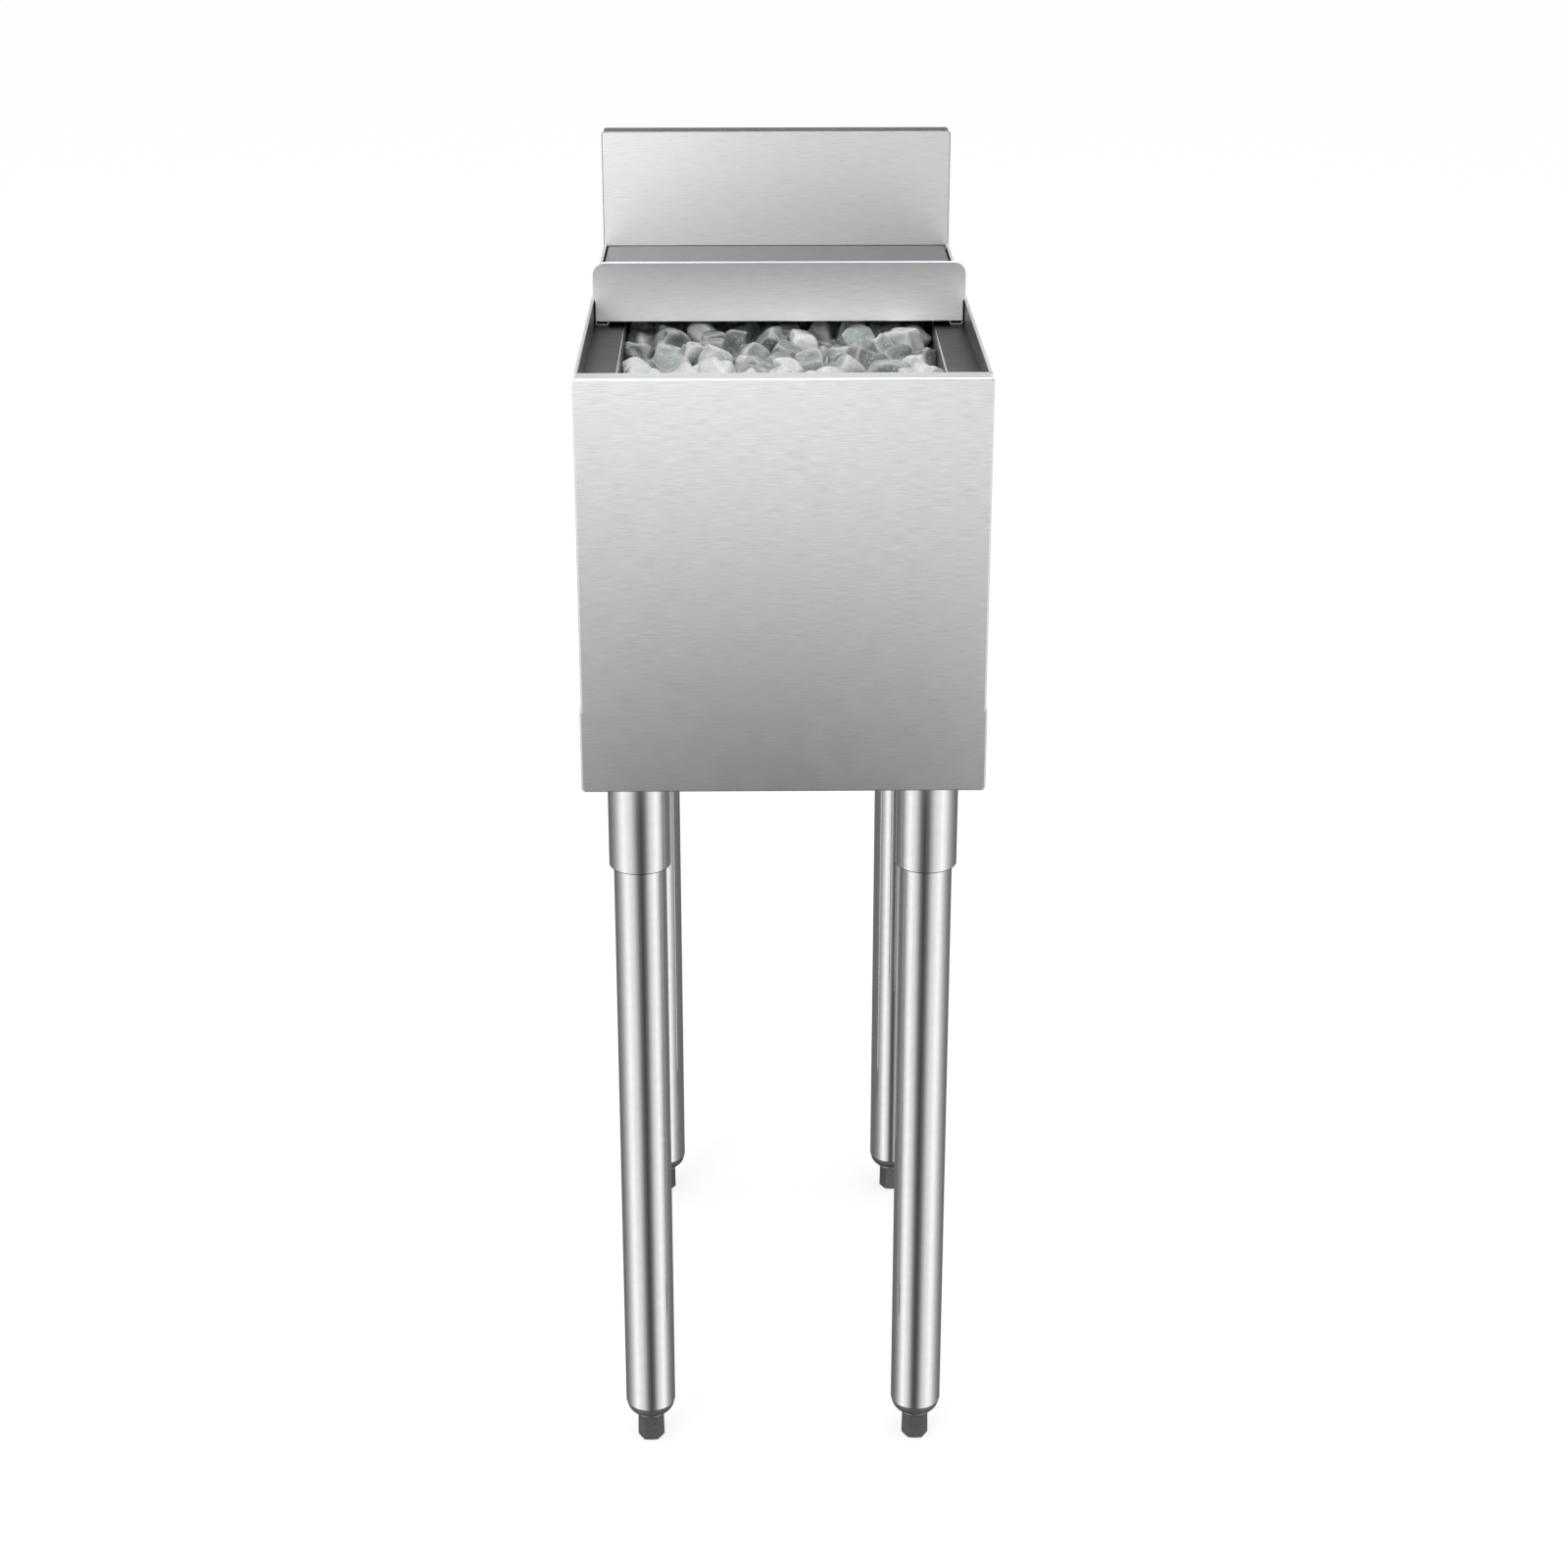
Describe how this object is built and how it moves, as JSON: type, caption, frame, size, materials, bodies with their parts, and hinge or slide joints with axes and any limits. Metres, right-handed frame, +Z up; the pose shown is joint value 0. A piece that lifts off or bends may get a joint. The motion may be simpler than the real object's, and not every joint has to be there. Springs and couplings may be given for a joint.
{
  "type": "underbar ice bin",
  "caption": "Insulated stainless steel underbar ice bin with a sliding lid, a backsplash, a drain and tubular legs on adjustable feet.",
  "frame": {"origin": "on the floor, under the middle of the bin's bounding box", "axes": "+X to the right and +Y to the back as one faces the bin, +Z up; the front panel faces -Y"},
  "size_m": [0.3072, 0.53, 1.023],
  "materials": {
    "brushed_stainless": "brushed",
    "inner_stainless": "satin",
    "polished_stainless": "polished",
    "dark_cast_steel": "blackened, satin",
    "zinc_plate": "zinc plated",
    "foam_board": "rigid foam",
    "rubber": "matte"
  },
  "bodies": {
    "root": {"front_panel": "brushed_stainless", "side_panel_left": "brushed_stainless", "side_panel_right": "brushed_stainless", "back_panel": "brushed_stainless", "base_band_left": "brushed_stainless", "base_band_right": "brushed_stainless", "backsplash": "brushed_stainless", "liner": "inner_stainless", "leg_tube_front_left": "polished_stainless", "leg_tube_front_right": "polished_stainless", "leg_tube_back_left": "polished_stainless", "leg_tube_back_right": "polished_stainless", "leg_socket_front_left": "polished_stainless", "leg_socket_front_right": "polished_stainless", "leg_socket_back_left": "polished_stainless", "leg_socket_back_right": "polished_stainless", "drain_body": "polished_stainless", "drain_strainer": "polished_stainless", "drain_locknut": "polished_stainless", "leg_insert_front_left": "dark_cast_steel", "leg_insert_front_right": "dark_cast_steel", "leg_insert_back_left": "dark_cast_steel", "leg_insert_back_right": "dark_cast_steel", "bottom_pan": "zinc_plate", "leg_channel_front": "zinc_plate", "leg_channel_back": "zinc_plate", "set_screw_front_left": "zinc_plate", "set_screw_front_right": "zinc_plate", "set_screw_back_left": "zinc_plate", "set_screw_back_right": "zinc_plate", "socket_bolt_front_left_1": "zinc_plate", "socket_bolt_front_left_2": "zinc_plate", "socket_bolt_front_right_1": "zinc_plate", "socket_bolt_front_right_2": "zinc_plate", "socket_bolt_back_left_1": "zinc_plate", "socket_bolt_back_left_2": "zinc_plate", "socket_bolt_back_right_1": "zinc_plate", "socket_bolt_back_right_2": "zinc_plate", "insulation_front": "foam_board", "insulation_back": "foam_board", "insulation_left": "foam_board", "insulation_right": "foam_board", "insulation_bottom": "foam_board", "drain_gasket": "rubber"},
    "lid": {"lid_panel": "brushed_stainless", "lid_handle": "brushed_stainless"},
    "levelling_foot_front_left": {"foot_front_left": "dark_cast_steel"},
    "levelling_foot_front_right": {"foot_front_right": "dark_cast_steel"},
    "levelling_foot_back_left": {"foot_back_left": "dark_cast_steel"},
    "levelling_foot_back_right": {"foot_back_right": "dark_cast_steel"}
  },
  "joints": [
    {"name": "lid_slide", "type": "slide", "parent": "root", "child": "lid", "axis": [0, -1, 0], "range_m": [0, 0.25]},
    {"name": "foot_screw_front_left", "type": "slide", "parent": "root", "child": "levelling_foot_front_left", "axis": [0, 0, -1], "range_m": [0, 0.025]},
    {"name": "foot_screw_front_right", "type": "slide", "parent": "root", "child": "levelling_foot_front_right", "axis": [0, 0, -1], "range_m": [0, 0.025]},
    {"name": "foot_screw_back_left", "type": "slide", "parent": "root", "child": "levelling_foot_back_left", "axis": [0, 0, -1], "range_m": [0, 0.025]},
    {"name": "foot_screw_back_right", "type": "slide", "parent": "root", "child": "levelling_foot_back_right", "axis": [0, 0, -1], "range_m": [0, 0.025]}
  ]
}
